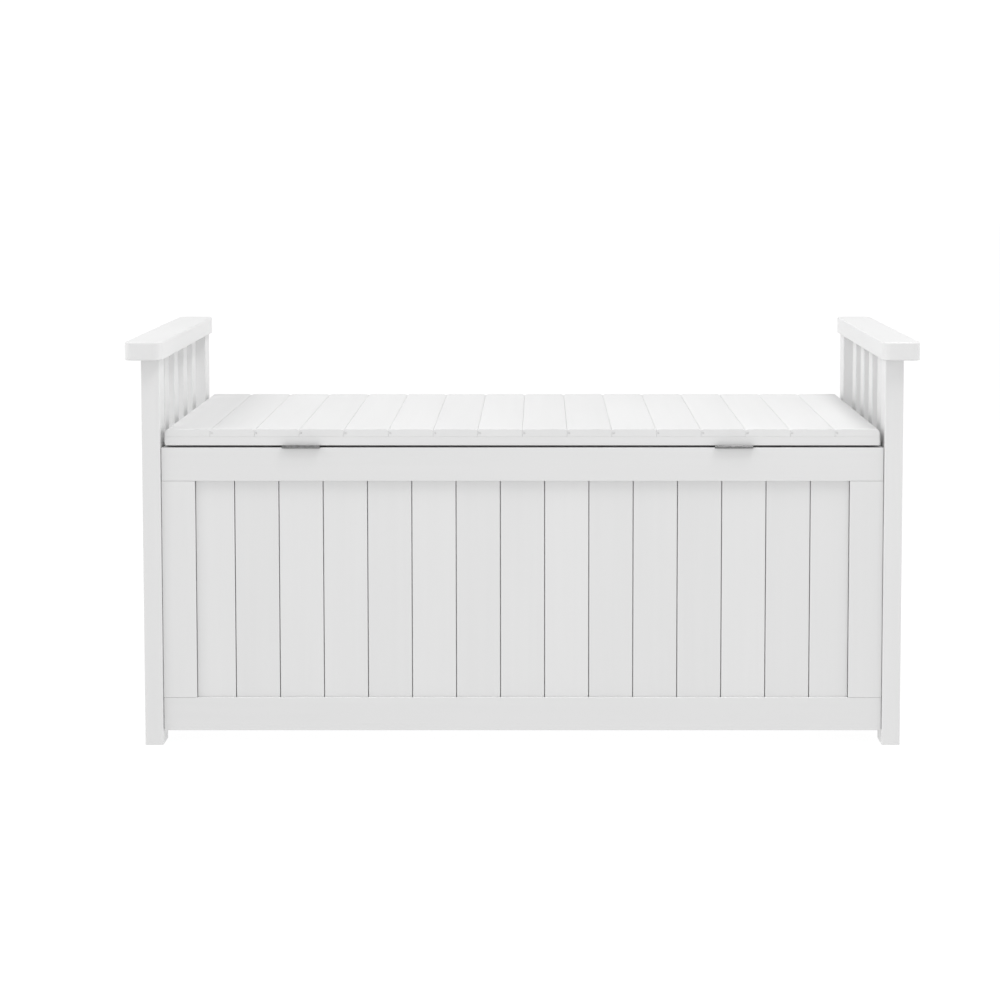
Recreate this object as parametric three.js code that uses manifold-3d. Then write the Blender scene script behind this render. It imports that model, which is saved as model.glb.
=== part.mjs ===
// Storage bench in white painted softwood: four posts, two slatted arms, framed and boarded sides,
// and a boarded lid on two butt hinges.
// Millimetres. +X runs along the bench, +Y from the hinged rear to the opening front, +Z up.
// The origin is on the floor, under the middle of the bench.

import * as THREE from 'three';
import { mergeVertices } from 'three/addons/utils/BufferGeometryUtils.js';
import Module from 'manifold-3d';

const wasm = await Module();
wasm.setup();

// ---------- driving dimensions ----------

const LENGTH = 1302;          // over the armrests
const DEPTH = 650;            // over the armrests
const HEIGHT = 670;           // floor to armrest top
const SEAT_HEIGHT = 525;      // floor to lid top
const FIT = 0.3;              // air between neighbouring pieces

const ARM_WIDTH = 62;
const ARM_THICK = 30;
const ARM_CORNER = 15;        // plan radius of the armrest corners
const ARM_EASE = 2;           // bevel on the armrest edges
const ARM_SIDE_LIP = 26;      // armrest past the outside of the posts
const ARM_END_LIP = 12;       // armrest past the front and back of the posts
const CORNER_STEPS = 5;

const POST_WIDTH = 30;
const POST_DEPTH = 54;
const EDGE_EASE = 1;          // bevel along the edges of posts, slats and battens

const RAIL_HEIGHT = 55;
const RAIL_THICK = 28;
const RAIL_SETBACK = 6;       // front and rear frames behind the post faces
const END_RAIL_SETBACK = 2;   // end frames behind the post sides
const END_RAIL_LEDGE = 18;    // the end top rail reaches in under the lid
const FOOT_GAP = 23.5;        // floor to the underside of the bottom rails
const SEAM = 3.6;             // between the top rails and the closed lid
const STILE_WIDTH = 55;
const FRAME_GAP = 0.8;        // open line between a frame and the posts

const BOARD = 73;             // cover width of the side boards
const PANEL_BOARDS = 15;
const PANEL_THICK = 10;
const PANEL_SETBACK = 5;      // panel face behind the frame face
const PANEL_LIP = 9;          // panel edge held in a groove
const GROOVE_DEPTH = 10;
const VEE_WIDTH = 3;
const VEE_DEPTH = 1.6;
const END_BOARDS = 7;

const LID_BOARDS = 16;
const LID_BOARD_THICK = 12;
const LID_BATTEN_THICK = 14.5;
const LID_BATTEN_WIDTH = 60;
const LID_SETBACK = 10;       // lid edge behind the post faces
const LID_END_GAP = 1.2;      // lid end to the armrest's inner edge
const LID_VEE_WIDTH = 4.5;    // slope along each top edge of a lid board, measured inward
const LID_VEE_DEPTH = 1.6;    // and measured down
const LID_END_ROUND = 4;      // the rounded top edge at each end of the lid, measured inward
const LID_END_DROP = 10;      // and measured down
const TONGUE_LENGTH = 4;
const TONGUE_THICK = 3.5;
const TONGUE_GROOVE_DEPTH = 4.6;

const SLATS = 4;
const SLAT_WIDTH = 45;
const SLAT_THICK = 12;
const SLAT_SEAT = 8;          // a slat's end in its mortise

const TENON_LENGTH = 14;
const TENON_THICK = 10;
const TENON_HEIGHT = 35;
const TENON_SHIFT = 5;        // tenon centre moved away from the panel groove
const POST_TENON_WIDTH = 16;
const POST_TENON_DEPTH = 30;
const POST_TENON_HEIGHT = 12;
const STILE_TENON_WIDTH = 40;
const MORTISE_END_AIR = 1;    // past the end of a tenon

const HINGE_LENGTH = 62;      // of the leaves; the pin's heads stand past them
const HINGE_X = 356;          // hinge centres either side of their middle
const HINGE_SHIFT = -8;       // the pair of hinges is a little off the bench's middle
const HINGE_KNUCKLES = 5;
const KNUCKLE_RADIUS = 2.6;
const KNUCKLE_SIDES = 16;
const PIN_RADIUS = 1.25;
const PIN_CLEARANCE = 0.1;
const PIN_HEAD = 0.5;
const LEAF_THICK = 1.2;
const LEAF_REACH = 25;        // hinge axis to the leaf's far edge

const FLOOR_THICK = 9;
const FLOOR_BATTEN = 20;
const FLOOR_BATTEN_TOP = 75;

const BUMPER_RADIUS = 6;
const BUMPER_X = 540;

// ---------- worked-out values ----------

const postX = LENGTH / 2 - ARM_SIDE_LIP - POST_WIDTH / 2;
const postY = DEPTH / 2 - ARM_END_LIP - POST_DEPTH / 2;
const postInX = postX - POST_WIDTH / 2;
const postInY = postY - POST_DEPTH / 2;
const postFaceY = postY + POST_DEPTH / 2;
const armX = (LENGTH - ARM_WIDTH) / 2;
const armUnder = HEIGHT - ARM_THICK;

const lidUnder = SEAT_HEIGHT - LID_BOARD_THICK - LID_BATTEN_THICK;
const topRailTop = lidUnder - SEAM;
const topRailUnder = topRailTop - RAIL_HEIGHT;
const topRailZ = topRailTop - RAIL_HEIGHT / 2;
const bottomRailTop = FOOT_GAP + RAIL_HEIGHT;
const bottomRailZ = FOOT_GAP + RAIL_HEIGHT / 2;

const railFaceY = postFaceY - RAIL_SETBACK;
const railY = railFaceY - RAIL_THICK / 2;
const railLength = 2 * (postInX - FRAME_GAP);
const endRailX = postX + POST_WIDTH / 2 - END_RAIL_SETBACK - RAIL_THICK / 2;
const endRailLength = 2 * (postInY - FRAME_GAP);

const grooveWidth = PANEL_THICK + 2 * FIT;
const grooveShift = RAIL_THICK / 2 - PANEL_SETBACK - PANEL_THICK / 2;
const panelZ = (topRailUnder + bottomRailTop) / 2;
const panelHeight = topRailUnder - bottomRailTop + 2 * PANEL_LIP;
const endBoard = (endRailLength - FIT) / END_BOARDS;
const stileX = (railLength - STILE_WIDTH) / 2;
const stileHeight = topRailUnder - bottomRailTop - 2 * FIT;

const lidLength = LENGTH - 2 * (ARM_WIDTH + LID_END_GAP);
const lidPitch = (lidLength + FIT) / LID_BOARDS;
const lidBoardWidth = lidPitch - FIT;
const lidDepth = 2 * (postFaceY - LID_SETBACK);
const lidBattenTop = SEAT_HEIGHT - LID_BOARD_THICK - FIT;

const slatPitch = (2 * postInY + SLAT_WIDTH) / (SLATS + 1);

const hingeAxisY = -(railFaceY + FIT + KNUCKLE_RADIUS);
const hingeAxisZ = topRailTop + SEAM / 2;
const knuckleLength = (HINGE_LENGTH - (HINGE_KNUCKLES - 1) * FIT) / HINGE_KNUCKLES;

// ---------- materials ----------

const whitePaint = { color: 0xeeefef, roughness: 0.45, metalness: 0 };
const zinc = { color: 0xb4b6b8, roughness: 0.35, metalness: 1 };
const blackRubber = { color: 0x2b2b2c, roughness: 0.9, metalness: 0 };
const plywood = { color: 0xe6e4df, roughness: 0.6, metalness: 0 };

// ---------- shape helpers ----------

const bench = new THREE.Group();

function addPart(name, geometry, look, position = [0, 0, 0]) {
  const mesh = new THREE.Mesh(geometry, new THREE.MeshStandardMaterial(look));
  mesh.name = name;
  mesh.position.set(...position);
  bench.add(mesh);
}

function block(size, centre = [0, 0, 0]) {
  return new THREE.BoxGeometry(...size).translate(...centre);
}

// The two axes that a profile is drawn in, for each direction of extrusion.
const profileAxes = { x: ['y', 'z'], y: ['z', 'x'], z: ['x', 'y'] };

function axisVector(axis) {
  return new THREE.Vector3(axis === 'x' ? 1 : 0, axis === 'y' ? 1 : 0, axis === 'z' ? 1 : 0);
}

// A profile extruded along an axis, centred on it.
function prism(axis, length, points) {
  const shape = new THREE.Shape(points.map(([u, v]) => new THREE.Vector2(u, v)));
  const geometry = new THREE.ExtrudeGeometry(shape, { depth: length, bevelEnabled: false });
  geometry.translate(0, 0, -length / 2);
  const [u, v] = profileAxes[axis].map(axisVector);
  return geometry.applyMatrix4(new THREE.Matrix4().makeBasis(u, v, axisVector(axis)));
}

// A rectangle with eased corners, as a profile.
function easedRectangle(width, height, ease = EDGE_EASE) {
  const w = width / 2;
  const h = height / 2;
  return [
    [-w, -h + ease], [-w + ease, -h], [w - ease, -h], [w, -h + ease],
    [w, h - ease], [w - ease, h], [-w + ease, h], [-w, h - ease],
  ];
}

function solid(geometry) {
  const bare = geometry.clone();
  bare.deleteAttribute('normal');
  bare.deleteAttribute('uv');
  const merged = mergeVertices(bare, 1e-4);
  const vertProperties = new Float32Array(merged.attributes.position.array);
  const triVerts = new Uint32Array(merged.index.array);
  return new wasm.Manifold(new wasm.Mesh({ numProp: 3, vertProperties, triVerts }));
}

function geometryOf(manifold) {
  const mesh = manifold.getMesh();
  const geometry = new THREE.BufferGeometry();
  geometry.setAttribute('position', new THREE.BufferAttribute(mesh.vertProperties, mesh.numProp));
  geometry.setIndex(new THREE.BufferAttribute(mesh.triVerts, 1));
  const faceted = geometry.toNonIndexed();
  faceted.computeVertexNormals();
  return faceted;
}

// A geometry with others joined to it and then others cut from it.
function shaped(geometry, joined, cut) {
  let body = solid(geometry);
  for (const piece of joined) {
    body = body.add(solid(piece));
  }
  for (const piece of cut) {
    body = body.subtract(solid(piece));
  }
  return geometryOf(body);
}

// ---------- posts ----------

// The rail mortises are cut in the two inner faces, and a tenon stands up into the armrest.
function post(sideX, sideY) {
  const height = armUnder - FIT;
  const body = prism('z', height, easedRectangle(POST_WIDTH, POST_DEPTH)).translate(0, 0, height / 2);
  const tenonOverlap = 2;
  const tenonHeight = POST_TENON_HEIGHT + tenonOverlap;
  const tenon = block(
    [POST_TENON_WIDTH, POST_TENON_DEPTH, tenonHeight],
    [0, 0, height - tenonOverlap + tenonHeight / 2],
  );
  const deep = TENON_LENGTH + MORTISE_END_AIR;
  const wide = TENON_THICK + 2 * FIT;
  const high = TENON_HEIGHT + 2 * FIT;
  const mortises = [];
  for (const z of [bottomRailZ - TENON_SHIFT, topRailZ + TENON_SHIFT]) {
    const longX = -sideX * (POST_WIDTH - deep) / 2;
    mortises.push(block([deep, wide, high], [longX, sideY * (railY - postY), z]));
    const endY = -sideY * (POST_DEPTH - deep) / 2;
    mortises.push(block([wide, deep, high], [sideX * (endRailX - postX), endY, z]));
  }
  return shaped(body, [tenon], mortises);
}

// ---------- long frames, front and rear ----------

// A rail's section with the panel groove, drawn for a bottom rail; up = -1 turns it over.
function railSection(inner, outer, outward, up) {
  const grooveIn = outward * (grooveShift - grooveWidth / 2);
  const grooveOut = outward * (grooveShift + grooveWidth / 2);
  const top = up * RAIL_HEIGHT / 2;
  const floor = top - up * GROOVE_DEPTH;
  return [
    [outward * inner, -top], [outward * outer, -top], [outward * outer, top], [grooveOut, top],
    [grooveOut, floor], [grooveIn, floor], [grooveIn, top], [outward * inner, top],
  ];
}

function longRail(outward, up) {
  const section = railSection(-RAIL_THICK / 2, RAIL_THICK / 2, outward, up);
  const tenons = [-1, 1].map((end) => railTenon('x', end * railLength / 2, -up * TENON_SHIFT));
  return shaped(prism('x', railLength, section), tenons, []);
}

// A tenon on the end of a rail, sunk a little into the rail so that the two join.
function railTenon(axis, endAt, z) {
  const overlap = 2;
  const length = TENON_LENGTH + overlap;
  const middle = endAt + Math.sign(endAt) * (TENON_LENGTH - overlap) / 2;
  return axis === 'x'
    ? block([length, TENON_THICK, TENON_HEIGHT], [middle, 0, z])
    : block([TENON_THICK, length, TENON_HEIGHT], [0, middle, z]);
}

// An upright at the end of a long frame, with the panel groove facing the middle of the bench.
function stile(sideX, outward) {
  const w = STILE_WIDTH / 2;
  const t = RAIL_THICK / 2;
  const grooveIn = outward * (grooveShift - grooveWidth / 2);
  const grooveOut = outward * (grooveShift + grooveWidth / 2);
  const section = [
    [sideX * w, -outward * t], [sideX * w, outward * t], [-sideX * w, outward * t],
    [-sideX * w, grooveOut], [sideX * (GROOVE_DEPTH - w), grooveOut],
    [sideX * (GROOVE_DEPTH - w), grooveIn], [-sideX * w, grooveIn], [-sideX * w, -outward * t],
  ];
  const tenon = block(
    [STILE_TENON_WIDTH, PANEL_THICK, stileHeight + 2 * PANEL_LIP],
    [sideX * (STILE_WIDTH - STILE_TENON_WIDTH - 2 * FIT) / 2, outward * grooveShift, 0],
  );
  return shaped(prism('z', stileHeight, section), [tenon], []);
}

// Boards glued edge to edge, as the section of one panel, with a V along each joint on both faces.
function panelSection(boards, boardWidth) {
  const half = boards * boardWidth / 2;
  const face = PANEL_THICK / 2;
  const edge = [];
  for (let joint = 1; joint < boards; joint += 1) {
    const at = joint * boardWidth - half;
    edge.push([at - VEE_WIDTH / 2, face], [at, face - VEE_DEPTH], [at + VEE_WIDTH / 2, face]);
  }
  const near = edge.map(([along, across]) => [along, -across]);
  const far = edge.reverse();
  return [[-half, -face], ...near, [half, -face], [half, face], ...far, [-half, face]];
}

// ---------- end frames ----------

function endBottomRail(sideX) {
  const section = railSection(-RAIL_THICK / 2, RAIL_THICK / 2, sideX, 1).map(([x, z]) => [z, x]);
  const tenons = [-1, 1].map((end) => railTenon('y', end * endRailLength / 2, -TENON_SHIFT));
  return shaped(prism('y', endRailLength, section), tenons, []);
}

// The top rail is deeper: its ledge carries the end of the lid, and the slats stand in its top.
function endTopRail(sideX) {
  const section = railSection(-RAIL_THICK / 2 - END_RAIL_LEDGE, RAIL_THICK / 2, sideX, -1);
  const rail = prism('y', endRailLength, section.map(([x, z]) => [z, x]));
  const tenons = [-1, 1].map((end) => railTenon('y', end * endRailLength / 2, TENON_SHIFT));
  const slatX = sideX * (postX - endRailX);
  return shaped(rail, tenons, slatMortises(slatX, RAIL_HEIGHT / 2, -1));
}

// Mortises for the slats' ends, cut down (inward -1) or up (inward 1) from a face at the given height.
function slatMortises(x, faceZ, inward) {
  const deep = SLAT_SEAT + FIT;
  const size = [SLAT_THICK + 2 * FIT, SLAT_WIDTH + 2 * FIT, deep];
  return slatPlaces().map((y) => block(size, [x, y, faceZ + inward * deep / 2]));
}

function slatPlaces() {
  return Array.from({ length: SLATS }, (_, i) => (i - (SLATS - 1) / 2) * slatPitch);
}

// ---------- armrests ----------

function armrest(sideX) {
  const w = ARM_WIDTH / 2 - ARM_EASE;
  const d = DEPTH / 2 - ARM_EASE;
  const r = ARM_CORNER - ARM_EASE;
  const shape = new THREE.Shape();
  shape.moveTo(-w + r, -d);
  shape.absarc(w - r, -d + r, r, -Math.PI / 2, 0);
  shape.absarc(w - r, d - r, r, 0, Math.PI / 2);
  shape.absarc(-w + r, d - r, r, Math.PI / 2, Math.PI);
  shape.absarc(-w + r, -d + r, r, Math.PI, 1.5 * Math.PI);
  const slab = new THREE.ExtrudeGeometry(shape, {
    depth: ARM_THICK - 2 * ARM_EASE,
    curveSegments: CORNER_STEPS,
    bevelSize: ARM_EASE,
    bevelThickness: ARM_EASE,
    bevelSegments: 1,
  });
  slab.translate(0, 0, ARM_EASE);
  const x = sideX * (postX - armX);
  const deep = POST_TENON_HEIGHT + MORTISE_END_AIR;
  const postMortises = [-postY, postY].map((y) => block(
    [POST_TENON_WIDTH + 2 * FIT, POST_TENON_DEPTH + 2 * FIT, deep],
    [x, y, deep / 2],
  ));
  return shaped(slab, [], [...postMortises, ...slatMortises(x, 0, 1)]);
}

// ---------- lid ----------

// A board's top edge, from its side to its top face: a slope, or rounded at an end of the lid.
function lidTopEdge(side, rounded) {
  const w = lidBoardWidth / 2;
  const h = LID_BOARD_THICK / 2;
  if (!rounded) {
    return [[side * w, h - LID_VEE_DEPTH], [side * (w - LID_VEE_WIDTH), h]];
  }
  return Array.from({ length: CORNER_STEPS + 1 }, (_, i) => {
    const angle = (i / CORNER_STEPS) * Math.PI / 2;
    const inward = LID_END_ROUND * (1 - Math.cos(angle));
    const down = LID_END_DROP * (1 - Math.sin(angle));
    return [side * (w - inward), h - down];
  });
}

// A tongued and grooved board. The first board has no groove and the last has no tongue.
function lidBoardSection(first, last) {
  const w = lidBoardWidth / 2;
  const h = LID_BOARD_THICK / 2;
  const grooveHalf = TONGUE_THICK / 2 + FIT;
  const tongue = [
    [w, -TONGUE_THICK / 2], [w + TONGUE_LENGTH, -TONGUE_THICK / 2],
    [w + TONGUE_LENGTH, TONGUE_THICK / 2], [w, TONGUE_THICK / 2],
  ];
  const groove = [
    [-w, grooveHalf], [-w + TONGUE_GROOVE_DEPTH, grooveHalf],
    [-w + TONGUE_GROOVE_DEPTH, -grooveHalf], [-w, -grooveHalf],
  ];
  return [
    [-w, -h], [w, -h], ...(last ? [] : tongue), ...lidTopEdge(1, last),
    ...lidTopEdge(-1, first).reverse(), ...(first ? [] : groove),
  ];
}

function lidBoard(index) {
  const section = lidBoardSection(index === 0, index === LID_BOARDS - 1);
  return prism('y', lidDepth, section.map(([x, z]) => [z, x]));
}

// ---------- hinges ----------

// One leaf lies flat, and its own knuckles stand on the axis; the other leaf's knuckles fit between.
// The leaf is drawn about the hinge axis, with up = -1 for the leaf under the seam.
function hingeLeaf(up, firstKnuckle) {
  const plateZ = up * (SEAM / 2 - FIT - LEAF_THICK / 2);
  const plateFrom = KNUCKLE_RADIUS + FIT;
  const plate = block(
    [HINGE_LENGTH, LEAF_REACH - plateFrom, LEAF_THICK],
    [0, (LEAF_REACH + plateFrom) / 2, plateZ],
  );
  const joined = [];
  for (let i = firstKnuckle; i < HINGE_KNUCKLES; i += 2) {
    const x = (i - (HINGE_KNUCKLES - 1) / 2) * (knuckleLength + FIT);
    joined.push(barrel(KNUCKLE_RADIUS, knuckleLength).translate(x, 0, 0));
    joined.push(block([knuckleLength, plateFrom + 1, LEAF_THICK], [x, (plateFrom + 1) / 2, plateZ]));
  }
  return shaped(plate, joined, [barrel(PIN_RADIUS + PIN_CLEARANCE, HINGE_LENGTH + 2)]);
}

// A cylinder along X.
function barrel(radius, length) {
  return new THREE.CylinderGeometry(radius, radius, length, KNUCKLE_SIDES).rotateZ(Math.PI / 2);
}

function hingePin() {
  const shank = barrel(PIN_RADIUS, HINGE_LENGTH + 2 * (FIT + PIN_HEAD));
  const heads = [-1, 1].map((end) => barrel(KNUCKLE_RADIUS, PIN_HEAD)
    .translate(end * (HINGE_LENGTH / 2 + FIT + PIN_HEAD / 2), 0, 0));
  return shaped(shank, heads, []);
}

// ---------- assembly ----------

const endNames = { '-1': 'left', 1: 'right' };
const faceNames = { '-1': 'rear', 1: 'front' };

for (const sideX of [-1, 1]) {
  for (const sideY of [-1, 1]) {
    const place = [sideX * postX, sideY * postY, 0];
    addPart(`${faceNames[sideY]}_${endNames[sideX]}_post`, post(sideX, sideY), whitePaint, place);
  }
}

for (const sideY of [-1, 1]) {
  const face = faceNames[sideY];
  addPart(`${face}_top_rail`, longRail(sideY, -1), whitePaint, [0, sideY * railY, topRailZ]);
  addPart(`${face}_bottom_rail`, longRail(sideY, 1), whitePaint, [0, sideY * railY, bottomRailZ]);
  for (const sideX of [-1, 1]) {
    const place = [sideX * stileX, sideY * railY, panelZ];
    addPart(`${face}_${endNames[sideX]}_stile`, stile(sideX, sideY), whitePaint, place);
  }
  const panel = prism('z', panelHeight, panelSection(PANEL_BOARDS, BOARD));
  addPart(`${face}_board_panel`, panel, whitePaint, [0, sideY * (railY + grooveShift), panelZ]);
}

for (const sideX of [-1, 1]) {
  const end = endNames[sideX];
  addPart(`${end}_end_top_rail`, endTopRail(sideX), whitePaint, [sideX * endRailX, 0, topRailZ]);
  addPart(`${end}_end_bottom_rail`, endBottomRail(sideX), whitePaint, [sideX * endRailX, 0, bottomRailZ]);
  const panel = prism('z', panelHeight, panelSection(END_BOARDS, endBoard)).rotateZ(Math.PI / 2);
  addPart(`${end}_end_board_panel`, panel, whitePaint, [sideX * (endRailX + grooveShift), 0, panelZ]);

  const slatLength = armUnder - topRailTop + 2 * SLAT_SEAT;
  slatPlaces().forEach((y, i) => {
    const slat = prism('z', slatLength, easedRectangle(SLAT_THICK, SLAT_WIDTH));
    addPart(`${end}_arm_slat_${i + 1}`, slat, whitePaint, [sideX * postX, y, (armUnder + topRailTop) / 2]);
  });
  addPart(`${end}_armrest`, armrest(sideX), whitePaint, [sideX * armX, 0, armUnder]);
}

for (let i = 0; i < LID_BOARDS; i += 1) {
  const x = (i - (LID_BOARDS - 1) / 2) * lidPitch;
  const number = String(i + 1).padStart(2, '0');
  addPart(`lid_board_${number}`, lidBoard(i), whitePaint, [x, 0, SEAT_HEIGHT - LID_BOARD_THICK / 2]);
}

const lidBattens = {
  lid_rear_batten: -(lidDepth - LID_BATTEN_WIDTH) / 2,
  lid_middle_batten: 0,
  lid_front_batten: (lidDepth - LID_BATTEN_WIDTH) / 2,
};
for (const [name, y] of Object.entries(lidBattens)) {
  const thick = lidBattenTop - lidUnder;
  const batten = prism('x', lidLength, easedRectangle(LID_BATTEN_WIDTH, thick));
  addPart(name, batten, whitePaint, [0, y, lidUnder + thick / 2]);
}

for (const sideX of [-1, 1]) {
  const end = endNames[sideX];
  const place = [HINGE_SHIFT + sideX * HINGE_X, hingeAxisY, hingeAxisZ];
  addPart(`${end}_hinge_frame_leaf`, hingeLeaf(-1, 0), zinc, place);
  addPart(`${end}_hinge_lid_leaf`, hingeLeaf(1, 1), zinc, place);
  addPart(`${end}_hinge_pin`, hingePin(), zinc, place);
}

const floorDepth = 2 * (railFaceY - RAIL_THICK - FIT);
const floorZ = FLOOR_BATTEN_TOP + FIT + FLOOR_THICK / 2;
addPart('floor_panel', block([railLength, floorDepth, FLOOR_THICK]), plywood, [0, 0, floorZ]);
for (const sideY of [-1, 1]) {
  const batten = prism('x', railLength, easedRectangle(FLOOR_BATTEN, FLOOR_BATTEN));
  const y = sideY * (floorDepth - FLOOR_BATTEN) / 2;
  addPart(`${faceNames[sideY]}_floor_batten`, batten, whitePaint, [0, y, FLOOR_BATTEN_TOP - FLOOR_BATTEN / 2]);
}

for (const sideX of [-1, 1]) {
  const height = SEAM - 2 * FIT;
  const bumper = new THREE.CylinderGeometry(BUMPER_RADIUS, BUMPER_RADIUS, height, KNUCKLE_SIDES);
  bumper.rotateX(Math.PI / 2);
  const place = [sideX * BUMPER_X, railY, topRailTop + FIT + height / 2];
  addPart(`${endNames[sideX]}_lid_bumper`, bumper, blackRubber, place);
}

export default bench;
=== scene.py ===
"""Looks for the white painted storage bench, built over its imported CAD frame. Metres, +Z up."""

import math

import bmesh
import bpy
from mathutils import Matrix, Vector


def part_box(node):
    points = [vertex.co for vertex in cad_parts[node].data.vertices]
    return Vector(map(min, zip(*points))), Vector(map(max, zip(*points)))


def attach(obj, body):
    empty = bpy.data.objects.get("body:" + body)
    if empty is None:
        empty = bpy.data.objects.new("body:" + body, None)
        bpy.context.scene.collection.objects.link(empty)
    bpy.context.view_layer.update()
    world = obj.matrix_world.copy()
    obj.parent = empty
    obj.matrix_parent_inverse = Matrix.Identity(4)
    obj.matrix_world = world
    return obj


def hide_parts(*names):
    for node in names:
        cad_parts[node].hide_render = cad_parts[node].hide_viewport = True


MM = 0.001

# ---------- camera and studio ----------

CAMERA_AT = (0.0289, -4.4216, 0.9801)
CAMERA_TILT = math.radians(85.5)
CAMERA_LENS = 90.65
CAMERA_SHIFT = (-0.04, -0.15)
SENSOR = 36.0

FLOOR_SIZE = 60.0
FLOOR_THICK = 0.02
FLOOR_DROP = 0.0002             # the floor lies just under the feet
FLOOR_WHITE = 0.10
FLOOR_ROUGHNESS = 0.9
FLOOR_GLOW = 0.94               # a lit white floor, as under a product on a light table
SKY_HORIZON = 1.03
SKY_ABOVE = 0.58
SKY_FADE = (0.08, 0.25)         # sines of the elevations between which the sky darkens
SKY_LEFT = 0.10                 # more light from the left of the bench than from the right
SKY_SIDES = 0.75                # more light from both sides than from along the view
KEY_AT = (-6.0, -2.4, 7.5)
KEY_SIZE = 5.0
KEY_POWER = 210.0
TOP_AT = (1.2, -1.2, 4.8)
TOP_SIZE = 1.4
TOP_POWER = 104.0
LIGHT_AIM = (0.0, 0.0, 0.35)

# ---------- bench ----------

# Words in the names of the CAD nodes that a more detailed piece stands for.
REBUILT = ("board_panel", "armrest", "hinge", "bumper", "lid_board", "lid_rear", "lid_middle", "lid_front")
LID_BATTENS = ("rear", "middle", "front")

EDGE_ROUND = 0.6 * MM           # paint-softened edges of sawn and planed pieces
EDGE_STEPS = 3
FINE_STEPS = 2                  # for the smaller rounds below
BOARD_EDGE = 0.2 * MM
LID_BOARD_EDGE = 0.15 * MM
BATTEN_EDGE = 0.3 * MM
PLATE_EDGE = 0.2 * MM
PIN_EDGE = 0.15 * MM
SCREW_EDGE = 0.08 * MM
BUMPER_EDGE = 0.3 * MM
SHARP_ANGLE = math.radians(32)
WELD_GAP = 0.01 * MM

LONG_BOARDS = 15
END_BOARDS = 7
END_LIP = 0.0                   # the end panels' edges stand free beside the posts
BOARD_JOINT = 1.5 * MM          # open line at the bottom of a V joint
BOARD_VEE = 0.35 * MM
PANEL_LIP = 8.3 * MM            # the side panels' edges are held this far inside the stiles
LID_JOINT = 0.25 * MM           # the lid's boards are pushed closer than in CAD
LID_VEE = (4.5 * MM, 1.6 * MM)
LID_END_ROUND = (4.0 * MM, 10.0 * MM)
LID_GROOVE_DEPTH = 4.1 * MM
LID_END_STEPS = 8
BATTEN_GAP = 0.06 * MM
LEDGE_STRIP_THICK = 16.0 * MM
LEDGE_STRIP_GAP = 1.5 * MM      # from a ledge strip to the lid's battens
TONGUE = 4.0 * MM
TONGUE_HALF = 1.0 * MM
GROOVE_HALF = 1.2 * MM
GROOVE_DEPTH = 4.6 * MM
TONGUE_INWARD = 2.5 * MM        # the side boards' tongues are nearer the inside of the box

ARM_CORNER = 15.0 * MM
ARM_CORNER_STEPS = 12
ARM_ROUND = 2.2 * MM
ARM_ROUND_STEPS = 5

LEAF_THICK = 1.2 * MM
LEAF_START = 2.9 * MM           # hinge axis to the near edge of the plate
LEAF_DROP = 0.9 * MM            # plate's middle above or below the hinge axis
KNUCKLES = 5
KNUCKLE_GAP = 0.3 * MM
KNUCKLE_RADIUS = 2.6 * MM
KNUCKLE_BORE = 1.36 * MM        # its radius
PIN_RADIUS = 1.25 * MM
PIN_HEAD = 0.5 * MM
PIN_HEAD_RADIUS = 0.95          # of the knuckles' radius
PIN_DOME = 0.35 * MM
PIN_CROWN = (0.6, 0.3)          # a point on the dome, of the radius and of the height
SCREWS_PER_LEAF = 3
SCREW_RADIUS = 3.2 * MM
SCREW_DEPTH = 1.1 * MM
SCREW_PROUD = 0.25 * MM
SCREW_FOOT = 0.55               # radius at the bottom of the countersink, of the head's radius
SCREW_RIM = 0.97                # and at the rim of the crown
SCREW_CROWN = (0.6, 0.8)        # a point on the crown, of the radius and of the height
SCREW_TURN = (0.4, 1.1)         # radians: the first screw's slots, and from each screw to the next
SCREW_PITCH = 21.0 * MM
SCREW_INSET = 9.0 * MM          # screw line from the leaf's far edge
SCREW_STAGGER = 4.0 * MM        # the middle screw sits nearer the barrel
SLOT_WIDTH = 0.8 * MM
SLOT_LENGTH = 3.4 * MM
SLOT_DEPTH = 0.8 * MM
TURNED_SIDES = 40

BUMPER_DOME = ((1.0, 0.45), (0.95, 0.72), (0.82, 0.92), (0.6, 1.0))     # radius and height

# ---------- finishes ----------

PIECE_SPREAD = 37.0             # metres of noise in which each piece has its own place
PAINT_WHITE = 0.69
PAINT_PIECES = (0.985, 1.01)    # tone of the darkest and the lightest piece
PAINT_ROUGHNESS = (0.37, 0.50)
RINGS = (1.6, 55.0)             # noise cells in a metre, along the grain and across it
RINGS_NOISE = {"Detail": 3.0, "Roughness": 0.55, "Distortion": 0.35}
RINGS_RANGE = (0.35, 0.7)
RINGS_TONE = (1.0, 0.985)
RINGS_RAISED = (0.35, 0.35 * MM)
STROKES = (9.0, 900.0)          # of the brush
STROKES_NOISE = {"Detail": 4.0, "Roughness": 0.6}
STROKES_RAISED = (0.25, 0.06 * MM)
CLOUD = (2.5, 7.0)              # slow changes of tone and gloss
CLOUD_NOISE = {"Detail": 2.0}
CLOUD_TONE = (0.985, 1.005)
NOISE_MIDDLE = (0.3, 0.7)       # most of a noise texture's values are between these

METAL_MARKS = (120.0, 1800.0)
METAL_MARKS_NOISE = {"Detail": 4.0}
METAL_MARKS_RAISED = (0.2, 0.05 * MM)
METAL_DULL = (160.0, 160.0)
METAL_DULL_NOISE = {"Detail": 5.0}
METAL_TONE = (0.16, 0.26)
METAL_ROUGHNESS = (0.28, 0.45)

RUBBER_PITS = (900.0, 900.0)
RUBBER_PITS_NOISE = {"Detail": 3.0}
RUBBER_PITS_RAISED = (0.3, 0.1 * MM)
RUBBER_TONE = (0.02, 0.035)
RUBBER_ROUGHNESS = 0.8

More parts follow.
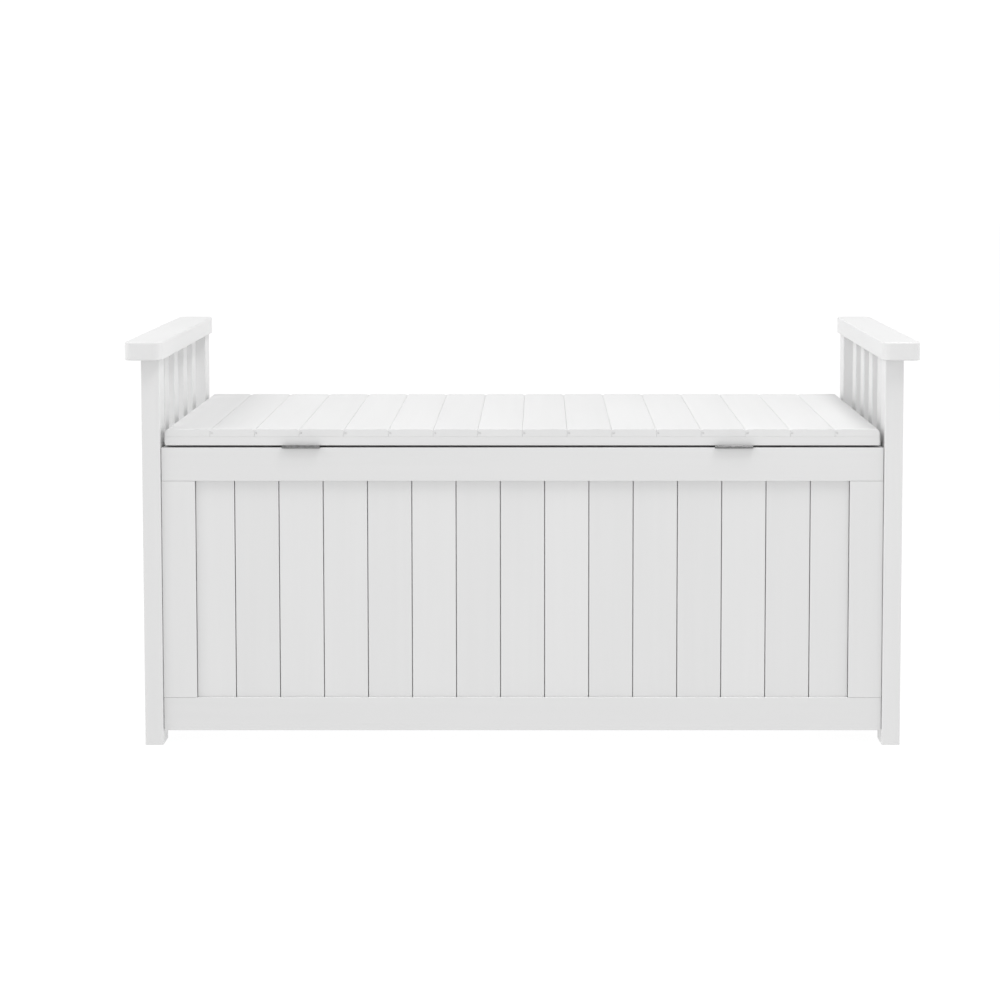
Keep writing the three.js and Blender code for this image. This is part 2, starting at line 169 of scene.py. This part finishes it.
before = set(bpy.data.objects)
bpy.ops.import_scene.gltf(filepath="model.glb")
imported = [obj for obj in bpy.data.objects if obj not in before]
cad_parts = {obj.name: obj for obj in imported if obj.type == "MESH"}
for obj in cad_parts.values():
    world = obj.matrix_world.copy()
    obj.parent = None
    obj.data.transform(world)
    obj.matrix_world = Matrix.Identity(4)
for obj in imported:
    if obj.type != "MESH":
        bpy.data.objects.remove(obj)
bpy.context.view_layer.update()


# ---------- mesh helpers ----------

def new_object(name, mesh):
    piece = bpy.data.objects.new(name, mesh)
    bpy.context.scene.collection.objects.link(piece)
    return piece


def object_from_bmesh(name, shape):
    bmesh.ops.recalc_face_normals(shape, faces=shape.faces)
    mesh = bpy.data.meshes.new(name)
    shape.to_mesh(mesh)
    shape.free()
    return new_object(name, mesh)


def soften(piece, radius=EDGE_ROUND, steps=EDGE_STEPS, smooth=True):
    """Rounds the sharp edges and keeps the flats flat."""
    bevel = piece.modifiers.new("soft_edges", "BEVEL")
    bevel.width = radius
    bevel.segments = steps
    bevel.limit_method = "ANGLE"
    bevel.angle_limit = SHARP_ANGLE
    bevel.harden_normals = smooth
    if smooth:
        for face in piece.data.polygons:
            face.use_smooth = True


def give_material(piece, material):
    piece.data.materials.clear()
    piece.data.materials.append(material)
    for face in piece.data.polygons:
        face.material_index = 0


def prism(name, outline, length, matrix):
    """A closed outline in X and Y, extruded along Z about its middle, then placed by matrix."""
    shape = bmesh.new()
    low = [shape.verts.new((x, y, -length / 2)) for x, y in outline]
    high = [shape.verts.new((x, y, length / 2)) for x, y in outline]
    shape.faces.new(reversed(low))
    shape.faces.new(high)
    count = len(outline)
    for i in range(count):
        j = (i + 1) % count
        shape.faces.new((low[i], low[j], high[j], high[i]))
    bmesh.ops.transform(shape, matrix=matrix, verts=shape.verts)
    return object_from_bmesh(name, shape)


def turned(name, outline, matrix):
    """A closed solid turned about Z from (radius, height) points that start and end on the axis."""
    shape = bmesh.new()
    rings = []
    for radius, height in outline[1:-1]:
        ring = []
        for i in range(TURNED_SIDES):
            angle = 2 * math.pi * i / TURNED_SIDES
            ring.append(shape.verts.new((radius * math.cos(angle), radius * math.sin(angle), height)))
        rings.append(ring)
    first = shape.verts.new((0, 0, outline[0][1]))
    last = shape.verts.new((0, 0, outline[-1][1]))
    for i in range(TURNED_SIDES):
        j = (i + 1) % TURNED_SIDES
        shape.faces.new((first, rings[0][j], rings[0][i]))
        shape.faces.new((last, rings[-1][i], rings[-1][j]))
        for inner, outer in zip(rings, rings[1:]):
            shape.faces.new((inner[i], inner[j], outer[j], outer[i]))
    bmesh.ops.transform(shape, matrix=matrix, verts=shape.verts)
    return object_from_bmesh(name, shape)


def block(name, low, high):
    shape = bmesh.new()
    bmesh.ops.create_cube(shape, size=1)
    size = Vector(high) - Vector(low)
    middle = (Vector(high) + Vector(low)) / 2
    bmesh.ops.transform(shape, matrix=Matrix.Diagonal((*size, 1)), verts=shape.verts)
    bmesh.ops.translate(shape, vec=middle, verts=shape.verts)
    return object_from_bmesh(name, shape)


def combine(piece, tools, operation):
    """Joins the tools to the piece or cuts them from it, and removes them."""
    for tool in tools:
        step = piece.modifiers.new("step", "BOOLEAN")
        step.operation = operation
        step.solver = "EXACT"
        step.object = tool
        depsgraph = bpy.context.evaluated_depsgraph_get()
        result = bpy.data.meshes.new_from_object(piece.evaluated_get(depsgraph))
        piece.modifiers.remove(step)
        old = piece.data
        piece.data = result
        bpy.data.meshes.remove(old)
        bpy.data.objects.remove(tool)


# ---------- materials ----------

class Nodes:
    """Small helper that adds and links shader nodes."""

    def __init__(self, material):
        material.use_nodes = True
        self.tree = material.node_tree
        self.shader = self.tree.nodes["Principled BSDF"]

    def add(self, kind, inputs=(), **settings):
        node = self.tree.nodes.new(kind)
        for name, value in settings.items():
            setattr(node, name, value)
        for socket, value in dict(inputs).items():
            if isinstance(value, bpy.types.NodeSocket):
                self.tree.links.new(value, node.inputs[socket])
            else:
                node.inputs[socket].default_value = value
        return node

    def link(self, output, socket):
        self.tree.links.new(output, self.shader.inputs[socket])


def noise(nodes, axis, cells, settings):
    """Noise stretched along the grain, starting at a different place on each piece."""
    along, across = cells
    place = nodes.add("ShaderNodeTexCoord").outputs["Object"]
    piece = nodes.add("ShaderNodeObjectInfo").outputs["Random"]
    start = nodes.add("ShaderNodeMath", {0: piece, 1: PIECE_SPREAD}, operation="MULTIPLY").outputs[0]
    moved = nodes.add("ShaderNodeVectorMath", {0: place, 1: start}, operation="ADD").outputs[0]
    scale = [across] * 3
    scale["XYZ".index(axis)] = along
    vector = nodes.add("ShaderNodeMapping", {"Vector": moved, "Scale": scale}).outputs[0]
    return nodes.add("ShaderNodeTexNoise", {"Vector": vector, "Scale": 1.0, **settings}).outputs["Fac"]


def mapped(nodes, value, before, after):
    """The value, moved from one range to another."""
    low, high = before
    to_low, to_high = after
    inputs = {"Value": value, "From Min": low, "From Max": high, "To Min": to_low, "To Max": to_high}
    return nodes.add("ShaderNodeMapRange", inputs).outputs[0]


def grey(nodes, tone):
    """The tone as a colour."""
    inputs = {"Red": tone, "Green": tone, "Blue": tone}
    return nodes.add("ShaderNodeCombineColor", inputs).outputs[0]


def raised(nodes, height, amount, **under):
    """A bumped normal; amount is its strength and distance, and under may give the Normal below it."""
    strength, distance = amount
    inputs = {"Height": height, "Strength": strength, "Distance": distance, **under}
    return nodes.add("ShaderNodeBump", inputs).outputs[0]


def paint(axis):
    """White satin paint, brushed along the grain, with the softwood grain faintly raised under it."""
    material = bpy.data.materials.new(f"white_paint_{axis.lower()}")
    nodes = Nodes(material)
    rings = noise(nodes, axis, RINGS, RINGS_NOISE)
    strokes = noise(nodes, axis, STROKES, STROKES_NOISE)
    cloud = noise(nodes, axis, CLOUD, CLOUD_NOISE)

    rings_tone = mapped(nodes, rings, RINGS_RANGE, RINGS_TONE)
    cloud_tone = mapped(nodes, cloud, NOISE_MIDDLE, CLOUD_TONE)
    piece = nodes.add("ShaderNodeObjectInfo").outputs["Random"]
    piece_tone = mapped(nodes, piece, (0.0, 1.0), [PAINT_WHITE * tone for tone in PAINT_PIECES])
    tone = nodes.add("ShaderNodeMath", {0: rings_tone, 1: cloud_tone}, operation="MULTIPLY").outputs[0]
    tone = nodes.add("ShaderNodeMath", {0: tone, 1: piece_tone}, operation="MULTIPLY").outputs[0]
    nodes.link(grey(nodes, tone), "Base Color")
    nodes.link(mapped(nodes, cloud, NOISE_MIDDLE, PAINT_ROUGHNESS), "Roughness")
    grain = raised(nodes, rings, RINGS_RAISED)
    nodes.link(raised(nodes, strokes, STROKES_RAISED, Normal=grain), "Normal")
    return material


def hinge_metal():
    """Zinc-plated steel with fine marks from rolling and a little dulling."""
    material = bpy.data.materials.new("zinc_steel")
    nodes = Nodes(material)
    nodes.shader.inputs["Metallic"].default_value = 1.0
    marks = noise(nodes, "X", METAL_MARKS, METAL_MARKS_NOISE)
    dull = noise(nodes, "X", METAL_DULL, METAL_DULL_NOISE)
    nodes.link(grey(nodes, mapped(nodes, dull, NOISE_MIDDLE, METAL_TONE)), "Base Color")
    nodes.link(mapped(nodes, dull, NOISE_MIDDLE, METAL_ROUGHNESS), "Roughness")
    nodes.link(raised(nodes, marks, METAL_MARKS_RAISED), "Normal")
    return material


def rubber():
    material = bpy.data.materials.new("black_rubber")
    nodes = Nodes(material)
    pits = noise(nodes, "X", RUBBER_PITS, RUBBER_PITS_NOISE)
    nodes.link(grey(nodes, mapped(nodes, pits, (0.0, 1.0), RUBBER_TONE)), "Base Color")
    nodes.shader.inputs["Roughness"].default_value = RUBBER_ROUGHNESS
    nodes.link(raised(nodes, pits, RUBBER_PITS_RAISED), "Normal")
    return material


# ---------- pieces ----------

def dress_cad_node(name, material):
    """A CAD node shown as it is, with its edges softened and its paint."""
    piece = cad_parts[name]
    weld = piece.modifiers.new("weld", "WELD")
    weld.merge_threshold = WELD_GAP
    give_material(piece, material)
    soften(piece, smooth=False)


def tongue(w, half, middle=0.0, length=TONGUE):
    """Outline of the tongue on a board's right side, from the bottom up."""
    low = middle - half
    high = middle + half
    return [(w, low), (w + length, low), (w + length, high), (w, high)]


def mirrored(outline):
    """The same outline for the board's other side."""
    return [(-x, y) for x, y in reversed(outline)]


def groove(w, half, middle=0.0, depth=GROOVE_DEPTH):
    """Outline of the groove in a board's left side, from the top down."""
    return mirrored(tongue(w, half, middle, -depth))


def board_outline(width, thick, lips, middle):
    """Section of a side board, X across it, with a V on both faces at each edge.

    A lip is None where the next board joins. Elsewhere it is the length of the plain tongue that
    an end board has into the frame, and zero leaves the edge plain.
    """
    w = (width - BOARD_JOINT) / 2
    h = thick / 2
    left = -w + (lips[0] or 0)
    right = w - (lips[1] or 0)
    left_side = groove(w, GROOVE_HALF, middle)
    right_side = tongue(w, TONGUE_HALF, middle)
    if lips[0] is not None:
        left_side = mirrored(tongue(-left, TONGUE_HALF, middle, lips[0])) if lips[0] else []
    if lips[1] is not None:
        right_side = tongue(right, TONGUE_HALF, middle, lips[1]) if lips[1] else []
    return [
        (left, -h + BOARD_VEE), (left + BOARD_VEE, -h), (right - BOARD_VEE, -h), (right, -h + BOARD_VEE),
        *right_side,
        (right, h - BOARD_VEE), (right - BOARD_VEE, h), (left + BOARD_VEE, h), (left, h - BOARD_VEE),
        *left_side,
    ]


def lid_outline(width, thick, first, last):
    """Section of a lid board: a shallow V along its top edges, and a round at the lid's two ends."""
    w = (width - LID_JOINT) / 2
    h = thick / 2
    vee_width, vee_depth = LID_VEE
    right = [(w, h - vee_depth), (w - vee_width, h)]
    left = [(-w + vee_width, h), (-w, h - vee_depth)]
    rounded = []
    for step in range(LID_END_STEPS + 1):
        angle = math.pi / 2 * step / LID_END_STEPS
        inward = LID_END_ROUND[0] * (1 - math.cos(angle))
        down = LID_END_ROUND[1] * (1 - math.sin(angle))
        rounded.append((w - inward, h - down))
    if last:
        right = rounded
    if first:
        left = mirrored(rounded)
    return [
        (-w, -h), (w, -h), *([] if last else tongue(w, TONGUE_HALF)), *right,
        *left, *([] if first else groove(w, TONGUE_HALF + LID_JOINT, depth=LID_GROOVE_DEPTH)),
    ]


def lid_boards(material):
    """The lid's boards, joined closer than their CAD solids are."""
    names = sorted(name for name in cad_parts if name.startswith("lid_board"))
    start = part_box(names[0])[0]
    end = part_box(names[-1])[1]
    width = (end.x - start.x) / len(names)
    turn = Matrix.Rotation(math.pi / 2, 4, "X")
    for i, name in enumerate(names):
        outline = lid_outline(width, end.z - start.z, i == 0, i == len(names) - 1)
        middle = Vector((start.x + width * (i + 0.5), (start.y + end.y) / 2, (start.z + end.z) / 2))
        board = prism(f"{name}_plank", outline, end.y - start.y, Matrix.Translation(middle) @ turn)
        finish_wood(board, material, name, "lid", LID_BOARD_EDGE)


def lid_batten(name, material):
    """A batten drawn up tight under the lid boards."""
    low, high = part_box(name)
    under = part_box("lid_board_01")[0].z - BATTEN_GAP
    batten = block(f"{name}_strip", low, (high.x, high.y, under))
    finish_wood(batten, material, name, "lid", BATTEN_EDGE)


def ledge_strips(end, material):
    """Strips on the end rail's ledge that fill the space under the lid between its battens."""
    low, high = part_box(f"{end}_end_top_rail")
    inner, outward = (high.x, -1) if end == "left" else (low.x, 1)
    sides = sorted((inner, inner + outward * LEDGE_STRIP_THICK))
    battens = [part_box(f"lid_{place}_batten") for place in LID_BATTENS]
    seam = battens[0][0].z - high.z
    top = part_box("lid_board_01")[0].z - seam
    bottom = high.z + BATTEN_GAP
    for i in range(len(battens) - 1):
        start = battens[i][1].y + LEDGE_STRIP_GAP
        stop = battens[i + 1][0].y - LEDGE_STRIP_GAP
        strip = block(f"{end}_ledge_strip_{i + 1}", (sides[0], start, bottom), (sides[1], stop, top))
        give_material(strip, material)
        soften(strip)
        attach(strip, "base")


def finish_wood(piece, material, node, body, edge, steps=FINE_STEPS):
    """Paint, soft edges and the bookkeeping for a wooden piece that stands for a CAD node."""
    give_material(piece, material)
    soften(piece, edge, steps)
    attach(piece, body)
    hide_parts(node)


def panel_boards(node, count, lip, material):
    """The separate upright boards of a side, in place of its one-piece CAD panel."""
    low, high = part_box(node)
    size = high - low
    along = 0 if size.x > size.y else 1
    width = size[along] / count
    thick = size[1 - along]
    turn = Matrix.Rotation(math.pi / 2 * along, 4, "Z")
    middle = (low + high) / 2
    inward = math.copysign(TONGUE_INWARD, middle.x if along else -middle.y)
    for i in range(count):
        lips = (lip if i == 0 else None, lip if i == count - 1 else None)
        outline = board_outline(width, thick, lips, inward)
        middle[along] = low[along] + width * (i + 0.5)
        name = node.replace("_panel", f"_{i + 1:02d}")
        board = prism(name, outline, size.z, Matrix.Translation(middle) @ turn)
        finish_wood(board, material, node, "base", BOARD_EDGE)


def armrest(node, material):
    low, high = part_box(node)
    size = high - low
    outline = []
    for corner in range(4):
        sign_x = 1 if corner in (0, 3) else -1
        sign_y = 1 if corner in (0, 1) else -1
        centre_x = sign_x * (size.x / 2 - ARM_CORNER)
        centre_y = sign_y * (size.y / 2 - ARM_CORNER)
        for step in range(ARM_CORNER_STEPS + 1):
            angle = math.pi / 2 * (corner + step / ARM_CORNER_STEPS)
            outline.append((centre_x + ARM_CORNER * math.cos(angle), centre_y + ARM_CORNER * math.sin(angle)))
    piece = prism(f"{node}_board", outline, size.z, Matrix.Translation((low + high) / 2))
    finish_wood(piece, material, node, "base", ARM_ROUND, ARM_ROUND_STEPS)


def along_x(x, y, z):
    """Places a solid that is drawn about Z so that it lies about a line along X."""
    return Matrix.Translation((x, y, z)) @ Matrix.Rotation(math.pi / 2, 4, "Y")


def knuckle(name, x, length, axis):
    half = length / 2
    outline = [(0, -half), (KNUCKLE_RADIUS, -half), (KNUCKLE_RADIUS, half), (0, half)]
    return turned(name, outline, along_x(x, axis.y, axis.z))


def hinge_leaf(node, axis, up, first, body, metal):
    """A leaf's plate with every second knuckle of the barrel, and its countersunk screws."""
    low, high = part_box(node)
    length = high.x - low.x
    plate_z = axis.z + up * LEAF_DROP
    top = plate_z + LEAF_THICK / 2
    bottom = plate_z - LEAF_THICK / 2
    plate = block(f"{node}_plate", (low.x, axis.y + LEAF_START, bottom), (high.x, high.y, top))
    knuckle_length = (length - (KNUCKLES - 1) * KNUCKLE_GAP) / KNUCKLES
    reach = axis.y + LEAF_START + LEAF_THICK
    tools = []
    for i in range(first, KNUCKLES, 2):
        start = low.x + i * (knuckle_length + KNUCKLE_GAP)
        tools.append(knuckle("tool", start + knuckle_length / 2, knuckle_length, axis))
        tools.append(block("tool", (start, axis.y, bottom), (start + knuckle_length, reach, top)))
    combine(plate, tools, "UNION")
    bore_half = length / 2 + LEAF_THICK
    bore_outline = [(0, -bore_half), (KNUCKLE_BORE, -bore_half), (KNUCKLE_BORE, bore_half), (0, bore_half)]
    middle_x = (low.x + high.x) / 2
    bore = turned("tool", bore_outline, along_x(middle_x, axis.y, axis.z))
    combine(plate, [bore], "DIFFERENCE")
    give_material(plate, metal)
    soften(plate, PLATE_EDGE, FINE_STEPS)
    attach(plate, body)
    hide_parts(node)
    face_z = plate_z - up * LEAF_THICK / 2
    for i in range(SCREWS_PER_LEAF):
        offset = i - (SCREWS_PER_LEAF - 1) / 2
        nearer = SCREW_STAGGER if offset == 0 else 0
        place = (middle_x + offset * SCREW_PITCH, high.y - SCREW_INSET - nearer, face_z)
        turn = SCREW_TURN[0] + i * SCREW_TURN[1]
        screw(f"{node}_screw_{i + 1}", place, -up, body, metal, turn)


def screw(name, place, up, body, metal, turn):
    """A countersunk cross-head screw whose head faces up or down at the given place."""
    crown_radius, crown_height = SCREW_CROWN
    outline = [
        (0, -SCREW_DEPTH), (SCREW_RADIUS * SCREW_FOOT, -SCREW_DEPTH), (SCREW_RADIUS, -SCREW_PROUD),
        (SCREW_RADIUS * SCREW_RIM, 0), (SCREW_RADIUS * crown_radius, SCREW_PROUD * crown_height),
        (0, SCREW_PROUD),
    ]
    face = Matrix.Identity(4) if up > 0 else Matrix.Rotation(math.pi, 4, "X")
    matrix = Matrix.Translation(place) @ face @ Matrix.Rotation(turn, 4, "Z")
    head = turned(name, outline, matrix)
    tools = []
    for size in ((SLOT_LENGTH, SLOT_WIDTH), (SLOT_WIDTH, SLOT_LENGTH)):
        half = Vector((size[0] / 2, size[1] / 2, SLOT_DEPTH))
        tool = block("tool", -half, half)
        tool.data.transform(matrix)
        tools.append(tool)
    combine(head, tools, "DIFFERENCE")
    give_material(head, metal)
    soften(head, SCREW_EDGE, FINE_STEPS)
    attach(head, body)


def hinge_pin(node, axis, metal):
    low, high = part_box(node)
    half = (high.x - low.x) / 2
    head = KNUCKLE_RADIUS * PIN_HEAD_RADIUS
    shoulder = half - PIN_HEAD
    crown = head * PIN_CROWN[0]
    crown_at = half - PIN_DOME * PIN_CROWN[1]
    outline = [
        (0, -half), (crown, -crown_at), (head, -half + PIN_DOME), (head, -shoulder),
        (PIN_RADIUS, -shoulder), (PIN_RADIUS, shoulder), (head, shoulder), (head, half - PIN_DOME),
        (crown, crown_at), (0, half),
    ]
    pin = turned(f"{node}_rod", outline, along_x((low.x + high.x) / 2, axis.y, axis.z))
    give_material(pin, metal)
    soften(pin, PIN_EDGE, FINE_STEPS)
    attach(pin, "base")
    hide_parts(node)


def bumper(node, material):
    low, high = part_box(node)
    radius = (high.x - low.x) / 2
    height = high.z - low.z
    middle = (low + high) / 2
    dome_points = [(radius * across, height * up) for across, up in BUMPER_DOME]
    outline = [(0, 0), (radius, 0), *dome_points, (0, height)]
    dome = turned(f"{node}_dome", outline, Matrix.Translation((middle.x, middle.y, low.z)))
    give_material(dome, material)
    soften(dome, BUMPER_EDGE, FINE_STEPS)
    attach(dome, "base")
    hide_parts(node)


# ---------- stage ----------

def aim(thing, at, target):
    thing.location = at
    direction = Vector(target) - Vector(at)
    thing.rotation_euler = direction.to_track_quat("-Z", "Y").to_euler()


def area_light(name, at, size, power):
    lamp = bpy.data.lights.new(name, "AREA")
    lamp.shape = "DISK"
    lamp.size = size
    lamp.energy = power
    light = bpy.data.objects.new(name, lamp)
    bpy.context.scene.collection.objects.link(light)
    aim(light, at, LIGHT_AIM)


def studio_floor():
    half = FLOOR_SIZE / 2
    floor = block("studio_floor", (-half, -half, -FLOOR_THICK), (half, half, -FLOOR_DROP))
    material = bpy.data.materials.new("studio_floor")
    nodes = Nodes(material)
    nodes.shader.inputs["Base Color"].default_value = (FLOOR_WHITE, FLOOR_WHITE, FLOOR_WHITE, 1)
    nodes.shader.inputs["Emission Color"].default_value = (1, 1, 1, 1)
    nodes.shader.inputs["Emission Strength"].default_value = FLOOR_GLOW
    nodes.shader.inputs["Roughness"].default_value = FLOOR_ROUGHNESS
    nodes.shader.inputs["Specular IOR Level"].default_value = 0.0
    give_material(floor, material)


def sky():
    """White light from all around, brightest at the horizon and towards both ends of the bench."""
    world = bpy.data.worlds.new("studio")
    bpy.context.scene.world = world
    world.use_nodes = True
    tree = world.node_tree
    direction = tree.nodes.new("ShaderNodeTexCoord").outputs["Generated"]
    height = tree.nodes.new("ShaderNodeSeparateXYZ")
    tree.links.new(direction, height.inputs[0])
    level = tree.nodes.new("ShaderNodeMapRange")
    tree.links.new(height.outputs["Z"], level.inputs["Value"])
    level.inputs["From Min"].default_value, level.inputs["From Max"].default_value = SKY_FADE
    level.inputs["To Min"].default_value = SKY_HORIZON
    level.inputs["To Max"].default_value = SKY_ABOVE
    slope = tree.nodes.new("ShaderNodeMath")
    slope.operation = "MULTIPLY_ADD"
    tree.links.new(height.outputs["X"], slope.inputs[0])
    slope.inputs[1].default_value = SKY_SIDES
    slope.inputs[2].default_value = -SKY_LEFT
    leaning = tree.nodes.new("ShaderNodeMath")
    leaning.operation = "MULTIPLY_ADD"
    tree.links.new(height.outputs["X"], leaning.inputs[0])
    tree.links.new(slope.outputs[0], leaning.inputs[1])
    tree.links.new(level.outputs[0], leaning.inputs[2])
    background = tree.nodes["Background"]
    background.inputs["Color"].default_value = (1, 1, 1, 1)
    tree.links.new(leaning.outputs[0], background.inputs["Strength"])


def studio():
    studio_floor()
    sky()
    area_light("key", KEY_AT, KEY_SIZE, KEY_POWER)
    area_light("top", TOP_AT, TOP_SIZE, TOP_POWER)
    bpy.context.scene.view_settings.view_transform = "Standard"


def camera():
    lens = bpy.data.cameras.new("camera")
    lens.lens = CAMERA_LENS
    lens.sensor_width = SENSOR
    lens.shift_x, lens.shift_y = CAMERA_SHIFT
    body = bpy.data.objects.new("camera", lens)
    body.location = CAMERA_AT
    body.rotation_euler = (CAMERA_TILT, 0, 0)
    bpy.context.scene.collection.objects.link(body)
    bpy.context.scene.camera = body


# ---------- the bench ----------

def dress_bench():
    paints = {axis: paint(axis) for axis in "XYZ"}
    metal = hinge_metal()
    black = rubber()
    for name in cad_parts:
        if any(word in name for word in REBUILT):
            continue
        low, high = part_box(name)
        size = high - low
        longest = "XYZ"[max(range(3), key=lambda i: size[i])]
        dress_cad_node(name, paints[longest])
    lid_boards(paints["Y"])
    for place in LID_BATTENS:
        lid_batten(f"lid_{place}_batten", paints["X"])
    for face in ("rear", "front"):
        panel_boards(f"{face}_board_panel", LONG_BOARDS, PANEL_LIP, paints["Z"])
    for end in ("left", "right"):
        panel_boards(f"{end}_end_board_panel", END_BOARDS, END_LIP, paints["Z"])
        armrest(f"{end}_armrest", paints["Y"])
        ledge_strips(end, paints["Y"])
        low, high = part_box(f"{end}_hinge_pin")
        axis = (low + high) / 2
        hinge_leaf(f"{end}_hinge_frame_leaf", axis, -1, 0, "base", metal)
        hinge_leaf(f"{end}_hinge_lid_leaf", axis, 1, 1, "lid", metal)
        hinge_pin(f"{end}_hinge_pin", axis, metal)
        bumper(f"{end}_lid_bumper", black)


camera()
studio()
dress_bench()
